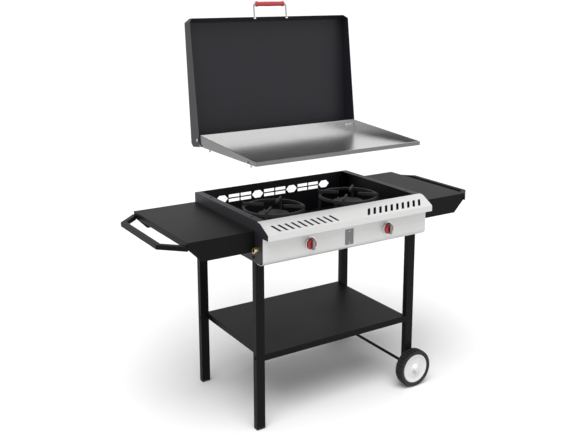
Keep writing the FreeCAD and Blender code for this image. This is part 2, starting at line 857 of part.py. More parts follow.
def make_bezels():
    """Rings on the panel round the knobs, wide enough for the skirts to be pushed inside."""
    rings = []
    inner = "skirt_radius + peg_gap"
    for sign in SIDES.values():
        at = (f"({sign}) * knob_spread", "panel_y", "knob_height")
        ring = rod("-y", f"{inner} + bezel_width", "bezel_height", at)
        rings.append(cut(ring, hole("y", inner, "bezel_height * 2", at)))
    piece("knob_bezels", fuse(*rings))


def make_burner(side):
    x = f"({SIDES[side]}) * knob_spread"
    tube = rod("y", "tube_radius", "burner_y - (valve_end)", (x, "valve_end", "knob_height"))
    bore = hole("y", "tube_radius - tube_wall", "burner_set * 2", (x, "burner_y", "knob_height"))
    piece(f"{side}_burner_tube", cut(tube, bore))
    neck = rod("z", "neck_radius", "bowl_z - (tray_top)", (x, "burner_y", "tray_top"))
    bowl = rod("z", "bowl_radius", "bowl_height", (x, "burner_y", "bowl_z"))
    socket = rod("-y", "tube_radius + seat_gap", "burner_set", (x, "burner_y", "knob_height"))
    piece(f"{side}_burner_bowl", cut(fuse(neck, bowl), socket))
    body = new_body()
    feature(body, "Pad", disc(body, "XY_Plane", "cap_radius"), "cap_height")
    wide, deep = "port_width / 2", "cap_radius - port_depth"
    far = "cap_radius + port_depth"
    notch = [(deep, f"-{wide}"), (far, f"-{wide}"), (far, wide), (deep, wide)]
    port = feature(body, "Pocket", outline(body, "XY_Plane", notch), "cap_height / 2", reverse=True)
    repeat_round(body, port, "Z_Axis", "port_count")
    piece(f"{side}_burner_cap", move(body, x, "burner_y", "cap_z"))
    make_trivet(side, x)
    make_electrode(side, x)


def make_trivet(side, x):
    """Four arms on posts, joined by a ring, which carry a pot when the griddle is off."""
    angles = (45, 135, 225, 315)
    parts = []
    for angle in angles:
        arm = spoke(angle, "trivet_inner", "trivet_radius", "trivet_top - trivet_deep", "trivet_top")
        post = spoke(angle, "trivet_radius - trivet_deep", "trivet_radius", "tray_top", "trivet_top")
        parts += [arm, post]
    low = "trivet_top - 2 * trivet_deep"
    ring = rod("z", "trivet_radius - trivet_deep / 4", "trivet_deep", ("0", "0", low))
    eye = rod("z", "trivet_radius - trivet_deep", "trivet_deep * 3", ("0", "0", f"{low} - trivet_deep"))
    piece(f"{side}_pot_support", move(fuse(cut(ring, eye), *parts), x, "burner_y"))


def spoke(angle, inner, outer, low, high):
    """A bar along a radius of the Z axis, at an angle."""
    bar = doc.addObject("Part::Box", "spoke")
    bind(bar, Length=f"({outer}) - ({inner})", Width="trivet_bar", Height=f"({high}) - ({low})")
    bar.Placement = FreeCAD.Placement(Vector(), Rotation(Vector(0, 0, 1), angle))
    x = f"({inner}) * cos({angle}) + trivet_bar / 2 * sin({angle})"
    y = f"({inner}) * sin({angle}) - trivet_bar / 2 * cos({angle})"
    return move(bar, x, y, low)


def make_electrode(side, x):
    """A spark electrode: a ceramic stem on the tray and a wire up to the ports."""
    y = "burner_y + cap_radius + electrode_radius + electrode_set"
    stem = rod("z", "electrode_radius", "electrode_rise", (x, y, "tray_top"))
    wire = rod("z", "electrode_wire", "cap_z + cap_height - (tray_top)", (x, y, "tray_top"))
    piece(f"{side}_electrode", fuse(stem, wire))


def make_griddle():
    """A steel plate with a tall back, side walls that fall to the front, and four locating pegs."""
    front, back = "griddle_y", "griddle_back"
    outer = [
        (front, "0"),
        (back, "0"),
        (back, "griddle_back_height"),
        (f"{back} - griddle_wall", "griddle_back_height"),
        (front, "griddle_front_height"),
    ]
    high = "griddle_back_height * 2"
    inner = [
        (f"{front} + griddle_wall", "griddle_floor"),
        (f"{back} - griddle_wall", "griddle_floor"),
        (f"{back} - griddle_wall", high),
        (f"{front} + griddle_wall", high),
    ]
    body = tray("YZ_Plane", outer, "griddle_width", inner, "griddle_width - 2 * griddle_wall")
    move(body, z="griddle_z")
    drills, bolts = [], []
    for sign in SIDES.values():
        for x in bracket_bolts(sign):
            at = (x, "griddle_back", "griddle_z + bracket_foot + bracket_height / 2")
            drills.append(hole("y", "bolt_radius + hole_gap", "bolt_inset", at))
            outside = (at[0], "griddle_back + bracket_sheet", at[2])
            inside = (at[0], "griddle_back - griddle_wall", at[2])
            dome = rod("-y", "bolt_head", "nut_height", inside)
            bolts.append(fuse(bolt("y", outside, "bracket_sheet + griddle_wall"), dome))
    piece("griddle_plate", cut(body, *drills))
    piece("hinge_bolts", fuse(*bolts))
    pegs = []
    for sign in SIDES.values():
        for end in ENDS:
            at = (f"({sign}) * (griddle_half - peg_inset)", peg_y(end), "griddle_z - peg_length")
            pegs.append(rod("z", "peg_radius", "peg_length", at))
    piece("griddle_pegs", fuse(*pegs))


def bracket_bolts(sign):
    """The two bolt positions of a hinge bracket, across the back wall."""
    outer = "griddle_half - bracket_sheet - 2 * bolt_head"
    return [f"({sign}) * ({outer})", f"({sign}) * ({outer} - 3 * bolt_head)"]


def make_hinge(side):
    """An angle bracket behind the griddle's back wall, whose ear carries the lid's pivot."""
    sign = SIDES[side]
    edge, inner = "griddle_half", "griddle_half - bracket_width"
    low, high = "griddle_z + bracket_foot", "griddle_z + bracket_foot + bracket_height"

    def between(near, far, y_end):
        xs = (near, far) if side == "right" else (f"-({far})", f"-({near})")
        return block((xs[0], "griddle_back", low), (xs[1], y_end, high))

    plate = between(inner, edge, "griddle_back + bracket_sheet")
    ear = between("griddle_half - bracket_sheet", edge, "griddle_back + bracket_ear")
    pivot = (f"({sign}) * griddle_half", "pivot_y", "pivot_z")
    drills = [hole("x", "hinge_pin + seat_gap", "bracket_sheet * 2", pivot)]
    for x in bracket_bolts(sign):
        at = (x, "griddle_back", "griddle_z + bracket_foot + bracket_height / 2")
        drills.append(hole("y", "bolt_radius + hole_gap", "bolt_inset", at))
    piece(f"{side}_hinge_bracket", cut(fuse(plate, ear), *drills))


def make_hinge_pins():
    """Shoulder pins through the ears, on which the lid's side flanges turn."""
    pins = []
    for side, sign in SIDES.items():
        way, back = ("x", "-x") if side == "right" else ("-x", "x")
        outside = (f"({sign}) * (lid_half + stop_gap)", "pivot_y", "pivot_z")
        span = "lid_gap + lid_sheet + stop_gap + bracket_sheet"
        shank = rod(back, "hinge_pin", f"{span} + pin_head_height", outside)
        inside = (f"({sign}) * (griddle_half - bracket_sheet)", "pivot_y", "pivot_z")
        nut = rod(back, "hinge_behind - bracket_sheet - hole_gap", "pin_head_height", inside)
        pins.append(fuse(rod(way, "pin_head", "pin_head_height", outside), shank, nut))
    piece("hinge_pins", fuse(*pins))


def make_stops():
    """Pins on the griddle's sides: the back pair stops the open lid, the front pair carries it shut."""
    turn = "lid_open - 90"
    away = "hinge_edge + stop_radius + stop_gap"
    y = f"pivot_y - stop_set * sin({turn}) - ({away}) * cos({turn})"
    z = f"pivot_z - stop_set * cos({turn}) + ({away}) * sin({turn})"
    front_z = f"pivot_z - ({away})"
    stops = []
    for side, sign in SIDES.items():
        way = "x" if side == "right" else "-x"
        for at_y, at_z in ((y, z), ("griddle_y + peg_set", front_z)):
            stops.append(rod(way, "stop_radius", "stop_length", (f"({sign}) * griddle_half", at_y, at_z)))
    piece("lid_stop_pins", fuse(*stops))


def cornered(section, half, front):
    """A solid of a section across the lid, with its two front corners cut back in plan."""
    body = new_body()
    pad = feature(body, "Pad", outline(body, "YZ_Plane", section), f"2 * ({half})", symmetric=True)
    doc.recompute()
    corner = {(round(number(half), 3), round(number(front), 3))}
    names = []
    for i, edge in enumerate(pad.Shape.Edges, start=1):
        if {(round(abs(v.X), 3), round(v.Y, 3)) for v in edge.Vertexes} == corner:
            names.append(f"Edge{i}")
    chamfer = body.newObject("PartDesign::Chamfer", "bevel")
    chamfer.Base = (pad, names)
    bind(chamfer, Size="lid_corner")
    return body


def swing(thing):
    """Places a thing made about the lid's pivot, lid shut, at the open lid's pose."""
    thing.Placement = FreeCAD.Placement(Vector(), Rotation(Vector(-1, 0, 0), 1))
    thing.setExpression("Placement.Rotation.Angle", formula("lid_open"))
    return move(thing, "0", "pivot_y", "pivot_z")


def make_lid():
    """A shallow folded cover, open at the hinge end, made about its pivot as if shut."""
    low, top_back, top_front = "-hinge_edge", "lid_back_height - hinge_edge", "lid_front_height - hinge_edge"
    skin = "lid_sheet"
    outer = [
        ("lid_front", low),
        ("hinge_tail", low),
        ("hinge_tail", f"{top_back} - lid_chamfer"),
        ("hinge_tail - lid_chamfer", f"{top_back} - lid_fall * lid_chamfer"),
        ("lid_front", top_front),
    ]
    inside_front = f"lid_front + {skin}"
    inner = [
        (inside_front, f"{low} - {skin}"),
        (f"hinge_tail + {skin}", f"{low} - {skin}"),
        (f"hinge_tail + {skin}", f"{top_back} + lid_fall * {skin} - lid_skin"),
        (inside_front, f"{top_front} + lid_fall * {skin} - lid_skin"),
    ]
    cover = cornered(outer, "lid_half", "lid_front")
    drills = [cornered(inner, f"lid_half - {skin}", inside_front)]
    for sign in SIDES.values():
        pivot = (f"({sign}) * lid_half", "0", "0")
        drills.append(hole("x", "hinge_pin + running_gap", "lid_sheet * 3", pivot))
        rod_hole = (f"({sign}) * handle_pitch / 2", "lid_front", "handle_z")
        drills.append(hole("y", "handle_rod + hole_gap", "lid_sheet * 3", rod_hole))
    piece("lid_shell", swing(cut(cover, *drills)))


def make_handle():
    """A bent rod with a sleeve, held by nuts inside the lid's front flange."""
    half, bend = "handle_pitch / 2", "handle_bend"
    tip = "lid_front - handle_reach"
    root = "lid_front + lid_sheet + nut_height"
    path = [
        (f"-({half})", root),
        (f"-({half})", f"{tip} + {bend}", "x", f"-({half}) + {bend}", 1),
        (f"-({half}) + {bend}", tip),
        (f"{half} - {bend}", tip, "x", f"{half} - {bend}", 1),
        (half, f"{tip} + {bend}"),
        (half, root),
    ]
    body = new_body()
    spine = outline(body, "XY_Plane", path, "handle_z", closed=False)
    section = disc(body, "XZ_Plane", "handle_rod", f"-({half})", "handle_z", f"-({root})")
    pipe = body.newObject("PartDesign::AdditivePipe", "pipe")
    pipe.Profile = section
    pipe.Spine = (spine, [])
    piece("lid_handle_rod", swing(body))
    length = f"handle_pitch - 2 * {bend}"
    start = (f"-({length}) / 2", tip, "handle_z")
    sleeve = rod("x", "grip_sleeve", length, start)
    end = (f"({length}) / 2 - collar_length", tip, "handle_z")
    collars = [rod("x", "sleeve_collar", "collar_length", at) for at in (start, end)]
    bore = hole("x", "handle_rod + seat_gap", "handle_pitch", ("0", tip, "handle_z"))
    piece("lid_handle_grip", swing(cut(fuse(sleeve, *collars), bore)))
    nuts = []
    for sign in SIDES.values():
        x = f"({sign}) * {half}"
        drill = hole("y", "handle_rod + seat_gap", "nut_height * 3", (x, "lid_front", "handle_z"))
        nut = rod("y", "nut_radius", "nut_height", (x, "lid_front + lid_sheet", "handle_z"))
        collar = rod("-y", "nut_radius", "nut_height / 2", (x, "lid_front", "handle_z"))
        nuts += [cut(nut, drill), cut(collar, drill)]
    piece("lid_handle_nuts", swing(fuse(*nuts)))


def write_pieces():
    """Checks every object, then writes each sub-part to its own file."""
    doc.recompute()
    failed = [o.Name for o in doc.Objects if "Invalid" in o.State or "Error" in o.State]
    bad = [p.Label for p in pieces if p.Shape.isNull() or not p.Shape.isValid()]
    if failed or bad:
        raise RuntimeError(f"failed objects {failed}, bad shapes {bad}")
    os.makedirs("parts", exist_ok=True)
    for made in pieces:
        made.Shape.exportStep(f"parts/{made.Label}.step")


for side in SIDES:
    for end in ENDS:
        make_leg(side, end)
make_feet()
make_shelf()
make_wheels()
make_box_side("left")
make_box_side("right")
make_box_back()
make_box_tray()
make_front_panel()
piece("table_bolts", fuse(*make_table("left"), *make_table("right")))
make_side_screws()
make_manifold()
for side in SIDES:
    make_valve(side)
    make_knob(side)
    make_burner(side)
make_bezels()
make_griddle()
make_hinge("left")
make_hinge("right")
make_hinge_pins()
make_stops()
make_lid()
make_handle()
write_pieces()
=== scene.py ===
"""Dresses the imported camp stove: finishes, softened sheet metal, turned pieces and the studio."""

from __future__ import annotations

import json
import logging
import math
from collections.abc import Callable, Sequence
from dataclasses import dataclass, field
from enum import Enum

import bpy
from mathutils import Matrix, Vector

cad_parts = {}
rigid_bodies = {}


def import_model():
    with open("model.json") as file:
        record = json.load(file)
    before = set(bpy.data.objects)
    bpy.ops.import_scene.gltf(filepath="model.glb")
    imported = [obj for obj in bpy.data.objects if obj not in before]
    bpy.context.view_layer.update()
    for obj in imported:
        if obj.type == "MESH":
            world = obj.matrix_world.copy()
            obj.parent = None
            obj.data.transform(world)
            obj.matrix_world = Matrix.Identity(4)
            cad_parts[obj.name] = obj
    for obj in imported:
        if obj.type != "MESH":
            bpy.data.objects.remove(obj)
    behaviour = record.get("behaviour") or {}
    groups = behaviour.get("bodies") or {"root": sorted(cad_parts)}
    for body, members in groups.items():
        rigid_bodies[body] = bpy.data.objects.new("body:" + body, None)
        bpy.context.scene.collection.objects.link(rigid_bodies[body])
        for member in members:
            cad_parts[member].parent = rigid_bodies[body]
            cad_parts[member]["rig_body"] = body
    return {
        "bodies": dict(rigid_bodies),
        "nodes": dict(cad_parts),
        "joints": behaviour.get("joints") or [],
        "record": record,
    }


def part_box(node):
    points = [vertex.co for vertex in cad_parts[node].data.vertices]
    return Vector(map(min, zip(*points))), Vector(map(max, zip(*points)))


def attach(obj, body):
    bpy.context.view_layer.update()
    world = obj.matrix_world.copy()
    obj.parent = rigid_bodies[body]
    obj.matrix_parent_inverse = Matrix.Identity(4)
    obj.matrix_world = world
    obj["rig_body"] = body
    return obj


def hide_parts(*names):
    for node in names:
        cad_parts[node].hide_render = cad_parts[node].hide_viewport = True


LOG = logging.getLogger("camp_stove")
MM = 0.001
Triple = tuple[float, float, float]
Profile = Sequence[tuple[float, float]]
FaceTest = Callable[[Vector, Vector], bool]

# The share of a face's normal along an axis: it leans that way, faces it, or is square to it.
LEANS = 0.3
FACES = 0.6
SQUARE = 0.99

# The Mix node's sockets for colours, which share their names with those for numbers.
MIX_FACTOR, MIX_FIRST, MIX_SECOND, MIX_RESULT = 0, 6, 7, 2


class Axis(Enum):
    """The way a turned piece's axis points, as the turn that brings +Z there."""

    FRONT = (math.pi / 2, 0.0, 0.0)
    RIGHT = (0.0, math.pi / 2, 0.0)


class Value:
    """A number that changes over a surface, with Python's operators."""

    def __init__(self, graph: Graph, socket: bpy.types.NodeSocket) -> None:
        """Holds an output socket of a graph.

        Args:
            graph: The graph.
            socket: The output socket.
        """
        self.graph = graph
        self.socket = socket

    def _math(self, operation: str, other: Value | float) -> Value:
        """Adds one Math node.

        Args:
            operation: The Math node's operation.
            other: Its second input, after this value.

        Returns:
            The node's output.
        """
        node = self.graph.add("ShaderNodeMath", {"operation": operation}, {0: self, 1: other})
        return Value(self.graph, node.outputs[0])

    def __add__(self, other: Value | float) -> Value:
        """self + other."""
        return self._math("ADD", other)

    def __mul__(self, other: float) -> Value:
        """self * other."""
        return self._math("MULTIPLY", other)

    def __pow__(self, other: float) -> Value:
        """self ** other."""
        return self._math("POWER", other)

    def about(self, level: float, spread: float) -> Value:
        """Lays a value between 0 and 1 about a level.

        Args:
            level: What 0.5 becomes.
            spread: How far apart 0 and 1 come to lie.

        Returns:
            The new value.
        """
        return self * spread + (level - spread / 2)


def shade(colour: Triple, share: float) -> tuple[float, ...]:
    """Makes a colour darker or lighter.

    Args:
        colour: The colour.
        share: What its parts are multiplied by.

    Returns:
        The new colour, opaque and nowhere above 1.
    """
    return (*(min(1.0, part * share) for part in colour), 1.0)


class Graph:
    """The node tree of a material or of the world."""

    def __init__(self, owner: bpy.types.Material | bpy.types.World) -> None:
        """Clears the owner's tree.

        Args:
            owner: The material or world.
        """
        self.owner = owner
        owner.use_nodes = True
        self.tree = owner.node_tree
        self.tree.nodes.clear()

    @classmethod
    def named(cls, name: str) -> Graph:
        """Starts a new material.

        Args:
            name: The material's name.

        Returns:
            Its graph.
        """
        return cls(bpy.data.materials.new(name))

    def add(
        self, kind: str, settings: dict | None = None, sockets: dict | None = None
    ) -> bpy.types.Node:
        """Adds a node.

        Args:
            kind: The node's type.
            settings: Its properties, set first.
            sockets: Values or links of its inputs, by name or number.

        Returns:
            The node.
        """
        node = self.tree.nodes.new(kind)
        for name, setting in (settings or {}).items():
            setattr(node, name, setting)
        for key, value in (sockets or {}).items():
            if isinstance(value, Value):
                value = value.socket
            if isinstance(value, bpy.types.NodeSocket):
                self.tree.links.new(value, node.inputs[key])
            else:
                node.inputs[key].default_value = value
        return node

    def noise(self, scale: float, octaves: float, stretch: Triple = (1.0, 1.0, 1.0)) -> Value:
        """Noise about 0.5, in object coordinates.

        Args:
            scale: Waves to the metre.
            octaves: How many finer waves lie on it.
            stretch: The scale along each axis.

        Returns:
            The noise value.
        """
        spot = self.add("ShaderNodeTexCoord").outputs["Object"]
        place = self.add("ShaderNodeMapping", None, {"Vector": spot, "Scale": stretch}).outputs[0]
        sockets = {"Vector": place, "Scale": scale, "Detail": octaves}
        return Value(self, self.add("ShaderNodeTexNoise", None, sockets).outputs[0])

    def tones(
        self, factor: Value, colour: Triple, low: float, high: float
    ) -> bpy.types.NodeSocket:
        """A colour that runs between two tones of itself.

        Args:
            factor: 0 for the first tone, 1 for the second.
            colour: The colour.
            low: The first tone's share of it.
            high: The second tone's share of it.

        Returns:
            The colour socket.
        """
        ends = {MIX_FIRST: shade(colour, low), MIX_SECOND: shade(colour, high)}
        sockets = {MIX_FACTOR: factor, **ends}
        return self.add("ShaderNodeMix", {"data_type": "RGBA"}, sockets).outputs[MIX_RESULT]

    def bump(self, height: Value, distance: float, strength: float) -> bpy.types.NodeSocket:
        """A normal from a height.

        Args:
            height: The height over the surface.
            distance: The height of 1, in metres.
            strength: The share of the effect.

        Returns:
            The normal socket.
        """
        sockets = {"Height": height, "Distance": distance, "Strength": strength}
        return self.add("ShaderNodeBump", None, sockets).outputs[0]

    def finish(self, sockets: dict) -> bpy.types.Material:
        """Closes the tree with a principled shader.

        Args:
            sockets: The shader's inputs.

        Returns:
            The material.
        """
        shader = self.add("ShaderNodeBsdfPrincipled", None, sockets)
        self.add("ShaderNodeOutputMaterial", None, {"Surface": shader.outputs[0]})
        return self.owner

    def seen(self) -> Value:
        """Tells rays that show something from rays that only light.

        Returns:
            1 for rays from the camera, a glossy surface or glass, and 0 for all others.
        """
        path = self.add("ShaderNodeLightPath").outputs
        kinds = ("Camera", "Glossy", "Transmission")
        camera, glossy, clear = (Value(self, path[f"Is {kind} Ray"]) for kind in kinds)
        return camera + glossy + clear


@dataclass(frozen=True)
class Surface:
    """What every finish has: a name, the record's material slot, a colour and a roughness."""

    name: str
    slot: str
    colour: Triple
    roughness: float

    def inputs(self, graph: Graph) -> dict:
        """The shader's inputs, which each kind of surface makes for itself.

        Args:
            graph: The graph that the nodes go into.

        Returns:
            Values or links, by the input's name.
        """
        raise NotImplementedError(self.name)

    def make(self) -> bpy.types.Material:
        """Makes the material.

        Returns:
            The new material.
        """
        graph = Graph.named(self.name)
        return graph.finish(self.inputs(graph))


@dataclass(frozen=True)
class PowderCoat(Surface):
    """Sprayed and baked paint with a fine orange-peel skin."""

    gleam: float = 0.22
    cloud: float = 5.0
    tones: tuple[float, float] = (0.8, 1.25)
    spread: float = 0.12
    peel: float = 700.0
    peel_depth: float = 0.00012
    peel_share: float = 0.35

    def inputs(self, graph: Graph) -> dict:
        """The paint's inputs.

        Args:
            graph: The graph that the nodes go into.

        Returns:
            Values or links, by the input's name.
        """
        cloud = graph.noise(self.cloud, octaves=3.0)
        peel = graph.noise(self.peel, octaves=2.0)
        return {
            "Base Color": graph.tones(cloud, self.colour, *self.tones),
            "Roughness": cloud.about(self.roughness, self.spread),
            "Specular IOR Level": self.gleam,
            "Normal": graph.bump(peel, self.peel_depth, self.peel_share),
        }


@dataclass(frozen=True)
class BrushedSteel(Surface):
    """Sheet steel with a fine grain along one axis and a few longer scratches."""

    stretch: Triple = (3.0, 500.0, 500.0)
    grain: float = 1.0
    metal: float = 1.0
    cloud: float = 6.0
    cloud_share: float = 0.4
    tone_spread: float = 0.12
    rough_spread: float = 0.16
    grain_depth: float = 0.00003
    grain_share: float = 0.3
    scratch: float = 2.5
    scratch_stretch: float = 0.12
    scratch_power: float = 6.0
    scratch_rough: float = 0.1

    def inputs(self, graph: Graph) -> dict:
        """The steel's inputs.

        Args:
            graph: The graph that the nodes go into.

        Returns:
            Values or links, by the input's name.
        """
        grain = graph.noise(1.0, octaves=3.0, stretch=self.stretch)
        cloud = graph.noise(self.cloud, octaves=3.0)
        long_run = tuple(s * self.scratch_stretch for s in self.stretch)
        scratch = graph.noise(self.scratch, octaves=1.0, stretch=long_run) ** self.scratch_power
        tone = grain * (1 - self.cloud_share) + cloud * self.cloud_share
        spread = self.tone_spread * self.grain
        roughness = grain.about(self.roughness, self.rough_spread * self.grain)
        return {
            "Base Color": graph.tones(tone, self.colour, 1 - spread, 1 + spread),
            "Metallic": self.metal,
            "Roughness": roughness + scratch * self.scratch_rough,
            "Normal": graph.bump(grain, self.grain_depth, self.grain_share * self.grain),
        }


@dataclass(frozen=True)
class Moulding(Surface):
    """Moulded plastic, glossy or matt, with a faint ripple."""

    coat: float = 0.0
    cloud: float = 30.0
    tones: tuple[float, float] = (0.9, 1.08)
    spread: float = 0.08
    ripple: float = 160.0
    ripple_depth: float = 0.00006
    ripple_share: float = 0.25

    def inputs(self, graph: Graph) -> dict:
        """The plastic's inputs.

        Args:
            graph: The graph that the nodes go into.

        Returns:
            Values or links, by the input's name.
        """
        cloud = graph.noise(self.cloud, octaves=2.0)
        ripple = graph.noise(self.ripple, octaves=2.0)
        return {
            "Base Color": graph.tones(cloud, self.colour, *self.tones),
            "Roughness": cloud.about(self.roughness, self.spread),
            "Coat Weight": self.coat,
            "Normal": graph.bump(ripple, self.ripple_depth, self.ripple_share),
        }


@dataclass(frozen=True)
class Plating(Surface):
    """Bright plated or plain turned metal."""

    haze: float = 90.0
    tones: tuple[float, float] = (0.92, 1.06)
    spread: float = 0.08

    def inputs(self, graph: Graph) -> dict:
        """The metal's inputs.

        Args:
            graph: The graph that the nodes go into.

        Returns:
            Values or links, by the input's name.
        """
        haze = graph.noise(self.haze, octaves=3.0)
        return {
            "Base Color": graph.tones(haze, self.colour, *self.tones),
            "Metallic": 1.0,
            "Roughness": haze.about(self.roughness, self.spread),
        }


@dataclass(frozen=True)
class Casting(Surface):
    """A rough cast or rubber surface."""

    pits: float
    pit_depth: float
    pit_share: float = 0.5
    cloud: float = 18.0
    tones: tuple[float, float] = (0.75, 1.3)
    spread: float = 0.16

    def inputs(self, graph: Graph) -> dict:
        """The casting's inputs.

        Args:
            graph: The graph that the nodes go into.

        Returns:
            Values or links, by the input's name.
        """
        pits = graph.noise(self.pits, octaves=4.0)
        cloud = graph.noise(self.cloud, octaves=3.0)
        return {
            "Base Color": graph.tones(cloud, self.colour, *self.tones),
            "Roughness": pits.about(self.roughness, self.spread),
            "Normal": graph.bump(pits, self.pit_depth, self.pit_share),
        }


# The stretch of the grain on the griddle's inside and on the dark steel finish, whose darkness on
# the griddle's outside is painted shade.
GRIDDLE_GRAIN = (3.0, 300.0, 300.0)
DARK_STEEL_GRAIN = (3.0, 200.0, 200.0)


class Finish(Enum):
    """The stove's finishes."""

    PAINT = PowderCoat("black_powder_coat", "black_paint", (0.0068, 0.0068, 0.007), 0.46, 0.075)
    # A lighter, slightly bluish copy of the black paint for the lid and the box's walls and tray;
    # its lift over PAINT is painted light.
    SATIN = PowderCoat("satin_lid_paint", "black_paint", (0.019, 0.0185, 0.023), 0.48)
    PANEL = BrushedSteel("brushed_panel", "stainless_panel", (0.72, 0.72, 0.715), 0.48, metal=0.4)
    GRIDDLE = BrushedSteel(
        "griddle_steel", "griddle_steel", (0.62, 0.62, 0.62), 0.25, GRIDDLE_GRAIN, 0.1
    )
    # A dark copy of the brushed steel: painted shade on the griddle's outside, the plate's own
    # colour on the badge, and the finish of the panel's inside.
    SCALE = BrushedSteel("griddle_outside", "griddle_steel", (0.16, 0.16, 0.16), 0.38, DARK_STEEL_GRAIN)
    STEEL = BrushedSteel("plain_steel", "raw_steel", (0.38, 0.38, 0.38), 0.35)
    PLATING = Plating("bright_plating", "bright_plating", (0.82, 0.82, 0.83), 0.12)
    # A dark, greenish copy of the bright plating for the knobs' finger bars: its darkness is a
    # painted dark reflection.
    SMOKED = Plating("smoked_plating", "bright_plating", (0.20, 0.215, 0.21), 0.2)
    BRASS = Plating("plain_brass", "brass_fittings", (0.74, 0.58, 0.32), 0.28)
    RED = Moulding("red_moulding", "red_plastic", (0.50, 0.018, 0.024), 0.25, 0.4)
    WHITE = Moulding("white_moulding", "white_hub", (0.90, 0.90, 0.895), 0.38)
    BLACK_PLASTIC = Moulding("black_moulding", "black_plastic", (0.025, 0.025, 0.025), 0.5)
    CERAMIC = Moulding("glazed_ceramic", "ceramic", (0.82, 0.80, 0.75), 0.18)
    TYRE = Casting("tyre_rubber", "tyre_rubber", (0.012, 0.012, 0.012), 0.72, 420.0, 0.0002)
    IRON = Casting("burner_casting", "cast_burner", (0.035, 0.035, 0.036), 0.6, 380.0, 0.0003)


class Paintbox:
    """Makes each finish once and puts it on pieces."""

    def __init__(self) -> None:
        """Starts with no material made."""
        self._made: dict[Finish, bpy.types.Material] = {}

    def made(self, finish: Finish) -> bpy.types.Material:
        """The material of a finish.

        Args:
            finish: The finish.

        Returns:
            Its material, made at the first call.
        """
        if finish not in self._made:
            self._made[finish] = finish.value.make()
        return self._made[finish]

    def coat(self, piece: bpy.types.Object, finish: Finish) -> None:
        """Gives a piece one finish.

        Args:
            piece: The object to dress.
            finish: Its finish.
        """
        piece.data.materials.clear()
        piece.data.materials.append(self.made(finish))

    def patch(self, piece: bpy.types.Object, finish: Finish, test: FaceTest) -> None:
        """Gives some faces of a piece a second finish.

        Args:
            piece: The object.
            finish: The faces' finish.
            test: Takes a face's centre and normal.
        """
        piece.data.materials.append(self.made(finish))
        for face in piece.data.polygons:
            if test(face.center, face.normal):
                face.material_index = len(piece.data.materials) - 1


